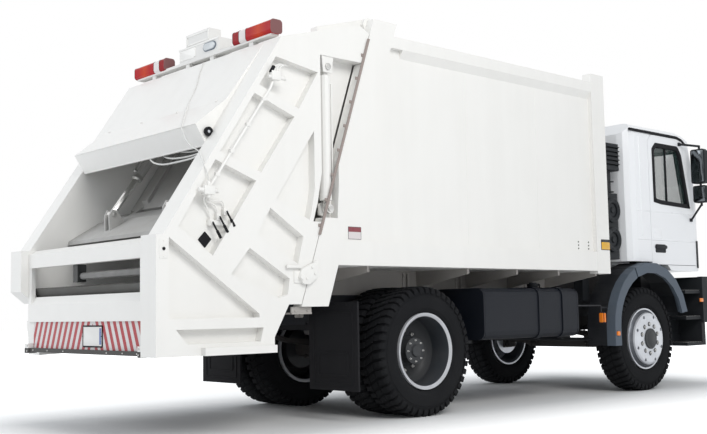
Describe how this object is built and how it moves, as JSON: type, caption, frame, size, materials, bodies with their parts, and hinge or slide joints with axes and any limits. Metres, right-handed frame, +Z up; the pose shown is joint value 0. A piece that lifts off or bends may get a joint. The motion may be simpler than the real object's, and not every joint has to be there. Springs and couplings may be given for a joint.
{
  "type": "garbage truck",
  "caption": "Rear-loading refuse truck: cab-over chassis with a tilting cab, compactor body with a sliding ejector, and a lifting tailgate with a sliding packer and swinging blade.",
  "frame": {"origin": "on the ground, under the middle of the truck's bounding box", "axes": "+Z up, +Y towards the front of the truck, +X to its right"},
  "size_m": [2.85, 8.07, 3.63],
  "materials": {
    "body_white": "gloss white paint",
    "cab_white": "gloss white paint, cooler",
    "cast_iron": "dark coated casting",
    "chrome": "polished rod",
    "fender_grey": "blue-grey moulding",
    "frame_black": "satin black paint",
    "glass": "tinted",
    "hopper_grey": "worn grey paint",
    "lamp_red": "red lens",
    "plastic_black": "grained black",
    "rim_dark": "dark grey paint",
    "rim_silver": "silver paint",
    "seat_cloth": "dark woven cloth",
    "stripe_red": "red paint",
    "subframe_grey": "satin grey primer",
    "tank_black": "satin blue-black paint",
    "tyre": "black rubber"
  },
  "bodies": {
    "truck": {"chassis_frame": "frame_black", "subframe": "subframe_grey", "engine_block": "cast_iron", "fuel_tank": "tank_black", "battery_and_air_tanks": "frame_black", "air_intake": "plastic_black", "front_bumper": "plastic_black", "front_mudguards": "fender_grey", "rear_mudflaps": "frame_black", "front_axle": "cast_iron", "rear_axle": "cast_iron", "body_side_left": "body_white", "body_side_right": "body_white", "body_floor": "body_white", "body_roof": "body_white", "body_front": "body_white", "body_rear_frame": "body_white"},
    "steering_left": {"knuckle_left": "cast_iron"},
    "steering_right": {"knuckle_right": "cast_iron"},
    "front_wheel_left": {"front_tyre_left": "tyre", "front_rim_left": "rim_silver"},
    "front_wheel_right": {"front_tyre_right": "tyre", "front_rim_right": "rim_silver"},
    "rear_wheels_left": {"rear_tyre_outer_left": "tyre", "rear_tyre_inner_left": "tyre", "rear_rims_left": "rim_dark"},
    "rear_wheels_right": {"rear_tyre_outer_right": "tyre", "rear_tyre_inner_right": "tyre", "rear_rims_right": "rim_dark"},
    "cab": {"cab_floor": "cab_white", "cab_back": "cab_white", "cab_front": "cab_white", "cab_roof": "cab_white", "windscreen": "glass", "cab_mudguard_left": "fender_grey", "cab_mudguard_right": "fender_grey", "dashboard": "plastic_black", "cab_seats": "seat_cloth"},
    "left_door": {"door_left": "cab_white", "mirror_left": "plastic_black"},
    "right_door": {"door_right": "cab_white", "mirror_right": "plastic_black"},
    "ejector": {"ejector_plate": "hopper_grey"},
    "tailgate": {"tailgate_side_left": "body_white", "tailgate_side_right": "body_white", "hopper_tub": "hopper_grey", "rear_sill": "body_white", "rear_board": "stripe_red", "rear_hood": "body_white", "rear_lamp_bar": "lamp_red"},
    "left_lift_barrel": {"lift_barrel_left": "body_white"},
    "right_lift_barrel": {"lift_barrel_right": "body_white"},
    "left_lift_rod": {"lift_rod_left": "chrome"},
    "right_lift_rod": {"lift_rod_right": "chrome"},
    "carriage": {"packer_carriage": "hopper_grey"},
    "blade": {"packer_blade": "hopper_grey"},
    "left_ram_barrel": {"ram_barrel_left": "plastic_black"},
    "right_ram_barrel": {"ram_barrel_right": "plastic_black"},
    "left_ram_rod": {"ram_rod_left": "chrome"},
    "right_ram_rod": {"ram_rod_right": "chrome"}
  },
  "joints": [
    {"name": "steer_right", "type": "hinge", "parent": "truck", "child": "steering_right", "pos_m": [0.83, 2.575, 0.59772], "axis": [0, 0, 1], "range_deg": [-35, 35]},
    {"name": "steer_left", "type": "hinge", "parent": "truck", "child": "steering_left", "pos_m": [-0.83, 2.575, 0.59772], "axis": [0, 0, 1], "range_deg": [-35, 35]},
    {"name": "front_wheel_left_roll", "type": "hinge", "parent": "steering_left", "child": "front_wheel_left", "pos_m": [-1.02, 2.575, 0.59772], "axis": [1, 0, 0], "continuous": true},
    {"name": "rear_wheels_left_roll", "type": "hinge", "parent": "truck", "child": "rear_wheels_left", "pos_m": [-0.8725, -1.125, 0.59772], "axis": [1, 0, 0], "continuous": true},
    {"name": "front_wheel_right_roll", "type": "hinge", "parent": "steering_right", "child": "front_wheel_right", "pos_m": [1.02, 2.575, 0.59772], "axis": [1, 0, 0], "continuous": true},
    {"name": "rear_wheels_right_roll", "type": "hinge", "parent": "truck", "child": "rear_wheels_right", "pos_m": [0.8725, -1.125, 0.59772], "axis": [1, 0, 0], "continuous": true},
    {"name": "cab_tilt", "type": "hinge", "parent": "truck", "child": "cab", "pos_m": [0, 3.925, 1.39], "axis": [-1, 0, 0], "range_deg": [0, 60]},
    {"name": "door_right_open", "type": "hinge", "parent": "cab", "child": "right_door", "pos_m": [1.15, 3.8253, 1.47], "axis": [0, 0, 1], "range_deg": [0, 70]},
    {"name": "door_left_open", "type": "hinge", "parent": "cab", "child": "left_door", "pos_m": [-1.15, 3.8253, 1.47], "axis": [0, 0, -1], "range_deg": [0, 70]},
    {"name": "tailgate_lift", "type": "hinge", "parent": "truck", "child": "tailgate", "pos_m": [0, -1.745, 3.56], "axis": [-1, 0, 0], "range_deg": [0, 85]},
    {"name": "lift_barrel_left_swing", "type": "hinge", "parent": "tailgate", "child": "left_lift_barrel", "pos_m": [-1.19, -2.315, 3.08], "axis": [1, 0, 0], "range_deg": [0, 84]},
    {"name": "lift_rod_left_slide", "type": "slide", "parent": "left_lift_barrel", "child": "left_lift_rod", "axis": [0, 0, -1], "range_m": [0, 1.01]},
    {"name": "lift_barrel_right_swing", "type": "hinge", "parent": "tailgate", "child": "right_lift_barrel", "pos_m": [1.19, -2.315, 3.08], "axis": [1, 0, 0], "range_deg": [0, 84]},
    {"name": "lift_rod_right_slide", "type": "slide", "parent": "right_lift_barrel", "child": "right_lift_rod", "axis": [0, 0, -1], "range_m": [0, 1.01]},
    {"name": "carriage_slide", "type": "slide", "parent": "tailgate", "child": "carriage", "axis": [0, 0.5558, 0.8313], "range_m": [-0.5, 0.45]},
    {"name": "blade_swing", "type": "hinge", "parent": "carriage", "child": "blade", "pos_m": [0, -2.985, 1.9], "axis": [1, 0, 0], "range_deg": [0, 54]},
    {"name": "ram_barrel_left_swing", "type": "hinge", "parent": "carriage", "child": "left_ram_barrel", "pos_m": [-0.5, -2.705, 2.85], "axis": [1, 0, 0], "range_deg": [0, 16]},
    {"name": "ram_rod_left_slide", "type": "slide", "parent": "left_ram_barrel", "child": "left_ram_rod", "axis": [0, -0.596, -0.803], "range_m": [0, 0.212]},
    {"name": "ram_barrel_right_swing", "type": "hinge", "parent": "carriage", "child": "right_ram_barrel", "pos_m": [0.5, -2.705, 2.85], "axis": [1, 0, 0], "range_deg": [0, 16]},
    {"name": "ram_rod_right_slide", "type": "slide", "parent": "right_ram_barrel", "child": "right_ram_rod", "axis": [0, -0.596, -0.803], "range_m": [0, 0.212]},
    {"name": "ejector_slide", "type": "slide", "parent": "truck", "child": "ejector", "axis": [0, -1, 0], "range_m": [0, 3.15]}
  ],
  "couplings": [
    {"joint": "steer_left", "follows": "steer_right", "ratio": 1},
    {"joint": "lift_barrel_left_swing", "follows": "tailgate_lift", "ratio": 0.9824},
    {"joint": "lift_rod_left_slide", "follows": "tailgate_lift", "m_per_rad": 0.6781},
    {"joint": "ram_barrel_left_swing", "follows": "blade_swing", "ratio": 0.277},
    {"joint": "ram_rod_left_slide", "follows": "blade_swing", "m_per_rad": 0.22228},
    {"joint": "lift_barrel_right_swing", "follows": "tailgate_lift", "ratio": 0.9824},
    {"joint": "lift_rod_right_slide", "follows": "tailgate_lift", "m_per_rad": 0.6781},
    {"joint": "ram_barrel_right_swing", "follows": "blade_swing", "ratio": 0.277},
    {"joint": "ram_rod_right_slide", "follows": "blade_swing", "m_per_rad": 0.22228}
  ]
}
